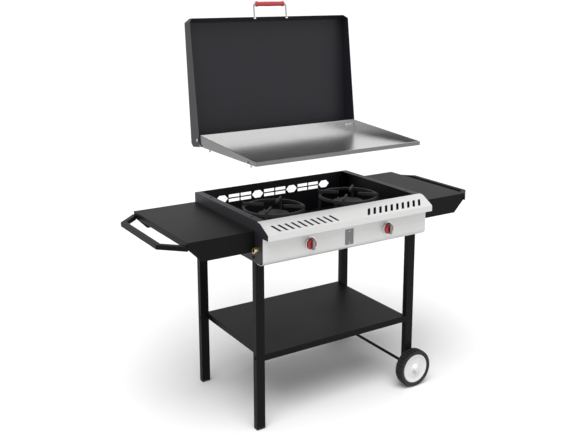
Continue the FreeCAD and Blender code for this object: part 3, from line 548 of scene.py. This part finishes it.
class Bench:
    """Modelling by operators, as at a bench: one piece at a time."""

    SMOOTH_DEGREES = 40.0
    BEVEL_DEGREES = 30.0
    FLAT_DEGREES = 0.5
    RING_WELD = 1e-6
    NODE_WELD = 2e-6

    @staticmethod
    def hold(piece: bpy.types.Object) -> None:
        """Selects one piece alone and makes it active.

        Args:
            piece: The object.
        """
        bpy.ops.object.select_all(action="DESELECT")
        piece.select_set(True)
        bpy.context.view_layer.objects.active = piece

    @staticmethod
    def settle(piece: bpy.types.Object) -> None:
        """Puts a piece's place, turn and size into its mesh.

        Args:
            piece: The object.
        """
        Bench.hold(piece)
        bpy.ops.object.transform_apply(location=True, rotation=True, scale=True)

    @staticmethod
    def smooth(piece: bpy.types.Object) -> None:
        """Shades a piece smooth between its sharp edges, with its large faces kept flat.

        Args:
            piece: The object.
        """
        Bench.hold(piece)
        bpy.ops.object.shade_smooth_by_angle(angle=math.radians(Bench.SMOOTH_DEGREES))
        normals = piece.modifiers.new("flat_faces", "WEIGHTED_NORMAL")
        normals.keep_sharp = True
        bpy.ops.object.modifier_apply(modifier=normals.name)

    @staticmethod
    def round_edges(piece: bpy.types.Object, width: float, segments: int = 2) -> None:
        """Rounds a piece's sharp edges.

        Args:
            piece: The object.
            width: The rounding in millimetres.
            segments: Faces across the rounding.
        """
        Bench.hold(piece)
        bevel = piece.modifiers.new("rounded", "BEVEL")
        bevel.width = width * MM
        bevel.segments = segments
        bevel.limit_method = "ANGLE"
        bevel.angle_limit = math.radians(Bench.BEVEL_DEGREES)
        bevel.use_clamp_overlap = True
        bpy.ops.object.modifier_apply(modifier=bevel.name)

    @staticmethod
    def pick_faces(piece: bpy.types.Object, test: FaceTest) -> None:
        """Leaves a piece in edit mode with the faces selected that pass a test.

        Args:
            piece: The object.
            test: Takes a face's centre and normal.
        """
        Bench.hold(piece)
        bpy.ops.object.mode_set(mode="EDIT")
        bpy.ops.mesh.select_mode(type="FACE")
        bpy.ops.mesh.select_all(action="DESELECT")
        bpy.ops.object.mode_set(mode="OBJECT")
        for face in piece.data.polygons:
            face.select = test(face.center, face.normal)
        bpy.ops.object.mode_set(mode="EDIT")

    @staticmethod
    def sink_bands(
        piece: bpy.types.Object, centre: Vector, edge: float, count: int, depth: float
    ) -> None:
        """Sinks every second band of faces round a piece whose axis points to the front.

        Args:
            piece: The object.
            centre: A point on its axis.
            edge: The radius in millimetres beyond which faces are sunk.
            count: How many bands are sunk.
            depth: How far they are sunk, in millimetres.
        """
        step = math.pi / count

        def in_band(spot: Vector, _normal: Vector) -> bool:
            """Whether a face lies in a band that is sunk."""
            across, up = spot.x - centre.x, spot.z - centre.z
            turn = math.atan2(up, across) % math.tau
            return math.hypot(across, up) > edge * MM and int(turn / step) % 2 == 0

        Bench.pick_faces(piece, in_band)
        sink = {"value": -depth * MM}
        bpy.ops.mesh.extrude_region_shrink_fatten(TRANSFORM_OT_shrink_fatten=sink)
        bpy.ops.object.mode_set(mode="OBJECT")

    @staticmethod
    def turned(
        name: str, profile: Profile, axis: Axis, centre: Vector, segments: int = 72
    ) -> bpy.types.Object:
        """A lathe-turned ring: a circle extruded along a closed profile.

        Args:
            name: The piece's name.
            profile: (radius, distance along the axis) points in millimetres.
            axis: The way the axis points.
            centre: Where the axis starts.
            segments: Faces round the ring.

        Returns:
            The piece.
        """
        bpy.ops.object.select_all(action="DESELECT")
        radius, along = profile[0]
        spot = (0, 0, along * MM)
        bpy.ops.mesh.primitive_circle_add(vertices=segments, radius=radius * MM, location=spot)
        piece = bpy.context.object
        piece.name = name
        Bench.settle(piece)
        bpy.ops.object.mode_set(mode="EDIT")
        bpy.ops.mesh.select_mode(type="VERT")
        bpy.ops.mesh.select_all(action="SELECT")
        for wider, further in [*profile[1:], profile[0]]:
            bpy.ops.mesh.extrude_region()
            bpy.ops.transform.translate(value=(0, 0, (further - along) * MM))
            ratio = wider / radius
            ring_centre = (0, 0, further * MM)
            bpy.ops.transform.resize(value=(ratio, ratio, 1), center_override=ring_centre)
            radius, along = wider, further
        bpy.ops.mesh.select_all(action="SELECT")
        bpy.ops.mesh.remove_doubles(threshold=Bench.RING_WELD)
        bpy.ops.mesh.normals_make_consistent(inside=False)
        bpy.ops.object.mode_set(mode="OBJECT")
        piece.rotation_euler = axis.value
        piece.location = centre
        Bench.settle(piece)
        return piece

    @staticmethod
    def slab(
        name: str, low: Vector, high: Vector, width: float, segments: int = 3
    ) -> bpy.types.Object:
        """A block between two corners with rounded edges.

        Args:
            name: The piece's name.
            low: Its lowest corner.
            high: Its highest corner.
            width: The rounding in millimetres.
            segments: Faces across the rounding.

        Returns:
            The piece.
        """
        bpy.ops.object.select_all(action="DESELECT")
        bpy.ops.mesh.primitive_cube_add(size=1, location=(low + high) / 2)
        piece = bpy.context.object
        piece.name = name
        piece.scale = high - low
        Bench.settle(piece)
        Bench.round_edges(piece, width, segments)
        return piece

    @staticmethod
    def joined(pieces: Sequence[bpy.types.Object]) -> bpy.types.Object:
        """Joins pieces into the first one, which keeps its name.

        Args:
            pieces: The objects.

        Returns:
            The first of them.
        """
        Bench.hold(pieces[0])
        for piece in pieces:
            piece.select_set(True)
        bpy.ops.object.join()
        return pieces[0]

    @staticmethod
    def softened(source: bpy.types.Object, width: float) -> bpy.types.Object:
        """A merged copy of a node with its edges rounded.

        Args:
            source: The node's object.
            width: The rounding in millimetres.

        Returns:
            The new piece.
        """
        piece = bpy.data.objects.new("soft_" + source.name, source.data.copy())
        bpy.context.scene.collection.objects.link(piece)
        Bench.hold(piece)
        bpy.ops.object.mode_set(mode="EDIT")
        bpy.ops.mesh.select_all(action="SELECT")
        bpy.ops.mesh.remove_doubles(threshold=Bench.NODE_WELD)
        bpy.ops.mesh.customdata_custom_splitnormals_clear()
        bpy.ops.mesh.dissolve_limited(angle_limit=math.radians(Bench.FLAT_DEGREES))
        bpy.ops.object.mode_set(mode="OBJECT")
        Bench.round_edges(piece, width)
        Bench.smooth(piece)
        return piece


@dataclass
class Dresser:
    """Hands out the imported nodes, dresses them and reports each piece."""

    frame: dict
    paint: Paintbox = field(default_factory=Paintbox)

    def node(self, name: str) -> bpy.types.Object:
        """Hands out a node.

        Args:
            name: The node's name.

        Returns:
            Its object.
        """
        return self.frame["nodes"][name]

    def body(self, name: str) -> str:
        """Looks up the body that a node belongs to.

        Args:
            name: The node's name.

        Returns:
            The body's name.
        """
        return self.node(name)["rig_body"]

    def keep(self, finish: Finish, *nodes: str) -> None:
        """Leaves nodes as they are, with a finish.

        Args:
            finish: The finish.
            nodes: The nodes' names.
        """
        for node in nodes:
            self.paint.coat(self.node(node), finish)
            LOG.info("kept %s as %s", node, finish.name)

    def soften(self, finish: Finish, width: float, *nodes: str) -> None:
        """Replaces nodes by copies with rounded edges.

        Args:
            finish: The finish.
            width: The rounding in millimetres.
            nodes: The nodes' names.
        """
        for node in nodes:
            self.stand_for(Bench.softened(self.node(node), width), finish, node)

    def stand_for(self, piece: bpy.types.Object, finish: Finish, *nodes: str) -> None:
        """Lets a piece stand for nodes of one body.

        Args:
            piece: The new piece.
            finish: Its finish.
            nodes: The nodes that it replaces.
        """
        self.paint.coat(piece, finish)
        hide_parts(*nodes)
        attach(piece, self.body(nodes[0]))
        LOG.info("%s stands for %s", piece.name, ", ".join(nodes))

    def add(self, piece: bpy.types.Object, finish: Finish, body: str) -> None:
        """Adds a piece of trim to a body.

        Args:
            piece: The new piece.
            finish: Its finish.
            body: The body that it rides on.
        """
        self.paint.coat(piece, finish)
        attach(piece, body)
        LOG.info("%s rides on %s", piece.name, body)


def middle(node: str) -> Vector:
    """Finds the middle of a node's box.

    Args:
        node: The node's name.

    Returns:
        The middle, in metres.
    """
    low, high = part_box(node)
    return (Vector(low) + Vector(high)) / 2


def stepped(radius: float, along: float, steps: Profile) -> list[tuple[float, float]]:
    """Points of a turned section that lie inside one of its corners.

    Args:
        radius: The corner's radius.
        along: The corner's distance along the axis.
        steps: How far inside the corner each point lies, towards the axis and along it.

    Returns:
        The points, as (radius, distance along the axis).
    """
    return [(radius - inwards, along - back) for inwards, back in steps]


class Section:
    """Pieces of the stove that are dressed together. Sizes are in millimetres."""

    def build(self, dresser: Dresser) -> None:
        """Dresses the section, which each kind does for itself.

        Args:
            dresser: Hands out the nodes.
        """
        raise NotImplementedError(type(self).__name__)


@dataclass
class Stand(Section):
    """Legs, feet, shelf and axle."""

    tube_edge: float = 1.2
    sheet_edge: float = 0.5

    def build(self, dresser: Dresser) -> None:
        """Dresses the stand.

        Args:
            dresser: Hands out the nodes.
        """
        legs = [f"leg_{end}_{side}" for end in ("front", "back") for side in ("left", "right")]
        dresser.soften(Finish.PAINT, self.tube_edge, *legs)
        dresser.soften(Finish.PAINT, self.sheet_edge, "bottom_shelf")
        dresser.soften(Finish.BLACK_PLASTIC, self.tube_edge, "foot_plugs")
        dresser.soften(Finish.PAINT, self.tube_edge, "shelf_bolts")
        dresser.keep(Finish.PAINT, "wheel_axle")
        dresser.keep(Finish.PLATING, "axle_washers")
        dresser.keep(Finish.WHITE, "axle_caps")


@dataclass
class Wheel(Section):
    """A white hub with a treaded tyre, turned about its axle."""

    end: str
    radius: float = 66.0
    bead: float = 51.1
    half_width: float = 17.7
    bead_steps: Profile = ((0, 3), (-4, 1))
    shoulder_steps: Profile = ((7, 0), (3, 1.2), (0.8, 4), (0, 9))
    tread_depth: float = 3.6
    tread_reach: float = 3.5
    tread_count: int = 32
    tread_faces: int = 2
    bore: float = 5.1
    hub_half: float = 15.8
    hub_gap: float = 0.2
    boss_radius: float = 13.0
    boss_rise: float = 1.4
    dish: Profile = ((14.4, 0.4), (17, -2.4), (38, -2.8), (42, -1.8), (45, -0.2))
    rim_steps: Profile = ((1, 0.6), (0, 2))

    def tyre_profile(self) -> Profile:
        """Draws the tyre's section, round its shoulders and back along the bead.

        Returns:
            The section's points.
        """
        side = stepped(self.bead, self.half_width, self.bead_steps)
        side += stepped(self.radius, self.half_width, self.shoulder_steps)
        return [(r, -y) for r, y in side] + list(reversed(side))

    def hub_profile(self) -> Profile:
        """Draws the hub's section: boss, dished face and rim.

        Returns:
            The section's points.
        """
        half = self.hub_half
        face = [(r, half + self.boss_rise) for r in (self.bore, self.boss_radius)]
        face += [(r, half + rise) for r, rise in self.dish]
        face += stepped(self.bead - self.hub_gap, half, self.rim_steps)
        return face + [(r, -y) for r, y in reversed(face)]

    def build(self, dresser: Dresser) -> None:
        """Makes the wheel.

        Args:
            dresser: Hands out the nodes.
        """
        centre = middle(f"{self.end}_tyre")
        name = f"{self.end}_wheel"
        sides = self.tread_faces * self.tread_count
        tyre = Bench.turned(name + "_tyre", self.tyre_profile(), Axis.FRONT, centre, sides)
        edge = self.radius - self.tread_reach
        Bench.sink_bands(tyre, centre, edge, self.tread_count, self.tread_depth)
        Bench.smooth(tyre)
        dresser.stand_for(tyre, Finish.TYRE, f"{self.end}_tyre")
        hub = Bench.turned(name + "_disc", self.hub_profile(), Axis.FRONT, centre)
        Bench.smooth(hub)
        dresser.stand_for(hub, Finish.WHITE, f"{self.end}_wheel_hub")


@dataclass
class BurnerBox(Section):
    """Sheet metal box with its steel front panel and a blank badge."""

    sheet_edge: float = 0.45
    panel_edge: float = 0.15
    screw_edge: float = 0.8
    bezel_depth: float = 3.0
    badge_size: Triple = (32.0, 1.2, 50.0)
    badge_edge: float = 0.4
    badge_rise: float = 42.0
    badge_border: float = 2.4
    badge_sink: float = 0.5
    rivet_offset: float = 19.0
    rivet_sides: int = 20
    rivet_dome: Profile = ((0.3, 0.0), (1.6, 0.0), (1.5, 0.5), (1.0, 0.9), (0.3, 1.0))

    def panel(self, dresser: Dresser) -> None:
        """Brushes the panel's outside and gives the faces inside the box the darker steel finish.

        Args:
            dresser: Hands out the node.
        """
        piece = Bench.softened(dresser.node("front_panel"), self.panel_edge)
        under_hood = middle("front_panel").z

        def inside(spot: Vector, normal: Vector) -> bool:
            """Whether a face looks into the box."""
            return normal.y > LEANS or (normal.z < -FACES and spot.z > under_hood)

        dresser.stand_for(piece, Finish.PANEL, "front_panel")
        dresser.paint.patch(piece, Finish.SCALE, inside)

    def badge(self, dresser: Dresser) -> None:
        """A plain plate with two rivets in the middle of the panel.

        Args:
            dresser: Takes the pieces.
        """
        bezels_low, _bezels_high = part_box("knob_bezels")
        panel_low, _panel_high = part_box("front_panel")
        front = bezels_low[1] + self.bezel_depth * MM
        face = Vector((0, front, panel_low[2] + self.badge_rise * MM))
        wide, deep, tall = (s * MM for s in self.badge_size)
        near = face + Vector((-wide / 2, -deep, -tall / 2))
        far = face + Vector((wide / 2, 0, tall / 2))
        plate = Bench.slab("panel_badge", near, far, self.badge_edge)
        Bench.pick_faces(plate, lambda _spot, normal: normal.y < -SQUARE)
        bpy.ops.mesh.inset(thickness=self.badge_border * MM)
        bpy.ops.transform.translate(value=(0, self.badge_sink * MM, 0))
        bpy.ops.object.mode_set(mode="OBJECT")
        Bench.smooth(plate)
        dresser.add(plate, Finish.SCALE, "stand")
        spots = [
            face + Vector((0, self.badge_sink * MM - deep, offset * MM))
            for offset in (-self.rivet_offset, self.rivet_offset)
        ]
        rivets = [
            Bench.turned("badge_rivets", self.rivet_dome, Axis.FRONT, spot, self.rivet_sides)
            for spot in spots
        ]
        pair = Bench.joined(rivets)
        Bench.smooth(pair)
        dresser.add(pair, Finish.PLATING, "stand")

    def build(self, dresser: Dresser) -> None:
        """Dresses the box.

        Args:
            dresser: Hands out the nodes.
        """
        walls = ["box_left_side", "box_right_side", "box_back_wall", "box_tray"]
        # The walls and tray take the lighter copy of the black paint, whose lift is painted light.
        dresser.soften(Finish.SATIN, self.sheet_edge, *walls)
        self.panel(dresser)
        dresser.soften(Finish.PAINT, self.screw_edge, "box_screws")
        self.badge(dresser)


@dataclass
class SideTables(Section):
    """Two folded tables with their towel bars."""

    sheet_edge: float = 0.5
    bar_edge: float = 2.5

    def build(self, dresser: Dresser) -> None:
        """Dresses both tables.

        Args:
            dresser: Hands out the nodes.
        """
        for side in ("left", "right"):
            dresser.soften(Finish.PAINT, self.sheet_edge, f"{side}_table")
            dresser.soften(Finish.PAINT, self.bar_edge, f"{side}_towel_bar")
        dresser.keep(Finish.PAINT, "table_bolts")


@dataclass
class Knob(Section):
    """A fluted red knob with a plated finger bar in a bright skirt."""

    side: str
    radius: float = 16.3
    base: float = 12.8
    base_edge: float = 0.5
    bore: float = 4.2
    clearance: float = 0.2
    crown_steps: Profile = ((0, 3.4), (0.9, 1.2), (2.8, 0))
    dimple: float = 0.6
    flutes: int = 10
    flute_faces: int = 4
    flute_depth: float = 1.3
    flute_reach: float = 1.5
    height: float = 21.5
    bar_half: float = 4.6
    bar_inset: float = 0.4
    bar_sink: float = 5.0
    bar_edge: float = 2.6
    bar_segments: int = 4
    skirt: float = 18.9
    skirt_height: float = 4.9
    skirt_gap: float = 0.35
    foot_steps: Profile = ((0.4, 0), (0, -0.5))
    rim_steps: Profile = ((0, 1.6), (0.4, 0.5), (1.1, 0))
    lip_steps: Profile = ((-0.5, 0.2), (0, 0.8))

    def base_profile(self) -> Profile:
        """Draws the round base's section.

        Returns:
            The section's points.
        """
        foot = [(self.bore, self.clearance), (self.radius, self.clearance)]
        crown = stepped(self.radius, self.base, self.crown_steps)
        return [*foot, *crown, (self.bore, self.base - self.dimple)]

    def skirt_profile(self) -> Profile:
        """Draws the skirt's section: a ring with a rolled rim.

        Returns:
            The section's points.
        """
        inner, outer = self.radius + self.skirt_gap, self.skirt
        foot = [(inner, self.clearance), *stepped(outer, self.clearance, self.foot_steps)]
        rim = stepped(outer, self.skirt_height, self.rim_steps)
        return foot + rim + stepped(inner, self.skirt_height, self.lip_steps)

    def build(self, dresser: Dresser) -> None:
        """Makes the knob.

        Args:
            dresser: Hands out the nodes.
        """
        name = f"{self.side}_knob"
        low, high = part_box(f"{name}_skirt")
        centre = Vector(((low[0] + high[0]) / 2, high[1], (low[2] + high[2]) / 2))
        sides = self.flute_faces * self.flutes
        base = Bench.turned(f"{name}_base", self.base_profile(), Axis.FRONT, centre, sides)
        edge = self.radius - self.flute_reach
        Bench.sink_bands(base, centre, edge, self.flutes, self.flute_depth)
        Bench.round_edges(base, self.base_edge)
        Bench.smooth(base)
        dresser.stand_for(base, Finish.RED, name)
        half, reach = self.bar_half * MM, (self.radius - self.bar_inset) * MM
        near = centre + Vector((-half, -self.height * MM, -reach))
        far = centre + Vector((half, -(self.base - self.bar_sink) * MM, reach))
        bar = Bench.slab(f"{name}_bar", near, far, self.bar_edge, self.bar_segments)
        Bench.smooth(bar)
        # The finger bar's dark plating is a painted dark reflection.
        dresser.add(bar, Finish.SMOKED, dresser.body(name))
        skirt = Bench.turned(f"{name}_ring", self.skirt_profile(), Axis.FRONT, centre)
        Bench.smooth(skirt)
        dresser.stand_for(skirt, Finish.PLATING, f"{name}_skirt")


@dataclass
class GasTrain(Section):
    """Inlet, manifold, valves, spindles and bezels."""

    turned_edge: float = 0.7

    def build(self, dresser: Dresser) -> None:
        """Dresses the gas train.

        Args:
            dresser: Hands out the nodes.
        """
        dresser.soften(Finish.BRASS, self.turned_edge, "gas_inlet")
        dresser.soften(Finish.PLATING, self.turned_edge, "knob_bezels")
        dresser.keep(Finish.STEEL, "gas_manifold")
        for side in ("left", "right"):
            dresser.keep(Finish.BRASS, f"{side}_valve")
            dresser.keep(Finish.PLATING, f"{side}_spindle")


@dataclass
class Burners(Section):
    """Cast burners, pot supports and electrodes."""

    cast_edge: float = 0.9

    def build(self, dresser: Dresser) -> None:
        """Dresses both burners.

        Args:
            dresser: Hands out the nodes.
        """
        for side in ("left", "right"):
            cast = [f"{side}_burner_cap", f"{side}_burner_bowl", f"{side}_pot_support"]
            dresser.soften(Finish.IRON, self.cast_edge, *cast)
            dresser.keep(Finish.STEEL, f"{side}_burner_tube")
            dresser.keep(Finish.CERAMIC, f"{side}_electrode")


@dataclass
class Griddle(Section):
    """The steel plate with its pegs, brackets and fasteners."""

    plate_edge: float = 1.0
    small_edge: float = 0.6
    skin: float = 1.2

    def plate(self, dresser: Dresser) -> None:
        """Rounds the plate and gives its outside a darker finish than its brushed inside: painted
        shade that stands in for dark reflections.

        Args:
            dresser: Hands out the node.
        """
        piece = Bench.softened(dresser.node("griddle_plate"), self.plate_edge)
        low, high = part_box("griddle_plate")
        skin = self.skin * MM

        def outside(spot: Vector, normal: Vector) -> bool:
            """Whether a face lies on the front, the sides, the back or the underside."""
            front = normal.y < -FACES and spot.y < low[1] + skin
            back = normal.y > FACES and spot.y > high[1] - skin
            ends = abs(normal.x) > FACES and abs(spot.x) > high[0] - skin
            return front or back or ends or normal.z < -FACES

        dresser.stand_for(piece, Finish.GRIDDLE, "griddle_plate")
        # The outside's darker steel is painted shade.
        dresser.paint.patch(piece, Finish.SCALE, outside)

    def build(self, dresser: Dresser) -> None:
        """Dresses the griddle.

        Args:
            dresser: Hands out the nodes.
        """
        self.plate(dresser)
        brackets = [f"{side}_hinge_bracket" for side in ("left", "right")]
        dresser.soften(Finish.STEEL, self.small_edge, *brackets)
        dresser.soften(Finish.PLATING, self.small_edge, "hinge_bolts")
        pins = ["griddle_pegs", "hinge_pins", "lid_stop_pins"]
        dresser.soften(Finish.STEEL, self.small_edge, *pins)


@dataclass
class Lid(Section):
    """The folded cover with its bail handle and red sleeve."""

    sheet_edge: float = 0.5
    bore: float = 3.2
    sleeve_half: float = 55.8
    sleeve_radius: float = 8.0
    collar: float = 9.0
    collar_radius: float = 9.4
    collar_steps: Profile = ((1.6, 0), (0.4, 1), (0, 2.6))
    collar_fall: float = 3.0
    neck_steps: Profile = ((0, 0), (0.3, 4))
    waist: Profile = ((0.0, 0.4), (0.2, 0.1))

    def sleeve_profile(self) -> Profile:
        """Draws the sleeve's section: a slim waist between two flared collars.

        Returns:
            The section's points.
        """
        half, r, flare = self.sleeve_half, self.sleeve_radius, self.collar_radius
        neck = half - self.collar
        side = [(self.bore, half), *stepped(flare, half, self.collar_steps)]
        side += [(flare, neck + self.collar_fall), *stepped(r, neck, self.neck_steps)]
        side += [(r + swell, half * share) for swell, share in self.waist]
        return side + [(radius, -x) for radius, x in reversed(side)]

    def build(self, dresser: Dresser) -> None:
        """Dresses the lid.

        Args:
            dresser: Hands out the nodes.
        """
        # The lid takes the lighter copy of the black paint, whose lift is painted light.
        dresser.soften(Finish.SATIN, self.sheet_edge, "lid_shell")
        dresser.keep(Finish.STEEL, "lid_handle_rod")
        dresser.soften(Finish.PLATING, self.sheet_edge, "lid_handle_nuts")
        spot = middle("lid_handle_grip")
        sleeve = Bench.turned("lid_sleeve", self.sleeve_profile(), Axis.RIGHT, spot)
        Bench.smooth(sleeve)
        dresser.stand_for(sleeve, Finish.RED, "lid_handle_grip")


@dataclass(frozen=True)
class Card:
    """A soft rectangular lamp: its name, place, width and height in metres, and watts."""

    name: str
    spot: Triple
    size: tuple[float, float]
    power: float


@dataclass
class Studio:
    """White room: camera, floor, world and lamps."""

    eye: Triple = (-1.477, -2.222, 1.368)
    yaw: float = 32.59
    pitch: float = 12.10
    lens: float = 50.10
    sensor: float = 36.0
    shift: float = -0.10
    floor_half: float = 60.0
    floor_drop: float = 0.0005
    floor_colour: Triple = (0.92, 0.92, 0.92)
    floor_roughness: float = 0.9
    bounce: float = 0.4
    ambient: float = 0.36
    sun: float = 2.9
    sun_spread: float = 50.0
    sun_spot: Triple = (-1.2, -1.6, 5.0)
    aim: Triple = (0.0, 0.0, 0.6)
    cards: tuple[Card, ...] = (
        Card("front_card", (1.6, -4.0, 1.5), (4.5, 3.0), 24.0),
        Card("side_card", (-4.2, 3.2, 1.2), (4.5, 3.0), 45.0),
    )

    def camera(self) -> None:
        """Sets the camera at the photograph's viewing angle."""
        data = bpy.data.cameras.new("camera")
        data.sensor_width = self.sensor
        data.lens = self.lens
        data.shift_y = self.shift
        camera = bpy.data.objects.new("camera", data)
        bpy.context.scene.collection.objects.link(camera)
        camera.location = self.eye
        camera.rotation_euler = (math.radians(90 - self.pitch), 0, math.radians(-self.yaw))
        bpy.context.scene.camera = camera

    def floor(self) -> None:
        """Lays a pale floor that keeps the shadow."""
        bpy.ops.object.select_all(action="DESELECT")
        spot = (0, 0, -self.floor_drop)
        bpy.ops.mesh.primitive_plane_add(size=2 * self.floor_half, location=spot)
        floor = bpy.context.object
        floor.name = "floor"
        graph = Graph.named("pale_floor")
        colour = graph.tones(graph.seen(), self.floor_colour, self.bounce, 1.0)
        sockets = {"Base Color": colour, "Roughness": self.floor_roughness}
        floor.data.materials.append(graph.finish(sockets))

    def world(self) -> None:
        """Makes a world that is white where it is seen or mirrored, and dimmer where it lights."""
        world = bpy.data.worlds.new("white_room")
        bpy.context.scene.world = world
        graph = Graph(world)
        dim, white = (
            graph.add("ShaderNodeBackground", None, {"Color": (1, 1, 1, 1), "Strength": strength})
            for strength in (self.ambient, 1.0)
        )
        sockets = {0: graph.seen(), 1: dim.outputs[0], 2: white.outputs[0]}
        room = graph.add("ShaderNodeMixShader", None, sockets)
        graph.add("ShaderNodeOutputWorld", None, {"Surface": room.outputs[0]})

    def hang(self, data: bpy.types.Light, spot: Triple) -> bpy.types.Object:
        """Hangs a lamp where the camera does not see it, facing the stove.

        Args:
            data: The lamp.
            spot: Where it hangs.

        Returns:
            The lamp's object.
        """
        lamp = bpy.data.objects.new(data.name, data)
        bpy.context.scene.collection.objects.link(lamp)
        lamp.location = spot
        lamp.rotation_euler = (Vector(self.aim) - Vector(spot)).to_track_quat("-Z", "Y").to_euler()
        lamp.visible_camera = False
        return lamp

    def lamps(self) -> None:
        """Hangs a wide sun that no surface mirrors, and the cards."""
        sun = bpy.data.lights.new("sky_light", "SUN")
        sun.energy = self.sun
        sun.angle = math.radians(self.sun_spread)
        self.hang(sun, self.sun_spot).visible_glossy = False
        for card in self.cards:
            data = bpy.data.lights.new(card.name, "AREA")
            data.shape = "RECTANGLE"
            data.size, data.size_y = card.size
            data.energy = card.power
            self.hang(data, card.spot)

    def build(self) -> None:
        """Sets up the room."""
        bpy.context.scene.view_settings.view_transform = "Standard"
        self.camera()
        self.floor()
        self.world()
        self.lamps()


def main() -> None:
    """Builds the stove's dress and the studio."""
    logging.basicConfig(level=logging.INFO, format="%(name)s: %(message)s")
    dresser = Dresser(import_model())
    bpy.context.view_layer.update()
    sections: list[Section] = [Stand(), Wheel("front"), Wheel("back"), BurnerBox(), SideTables()]
    sections += [Knob("left"), Knob("right"), GasTrain(), Burners(), Griddle(), Lid()]
    for section in sections:
        section.build(dresser)
    Studio().build()


if __name__ == "__main__":
    main()
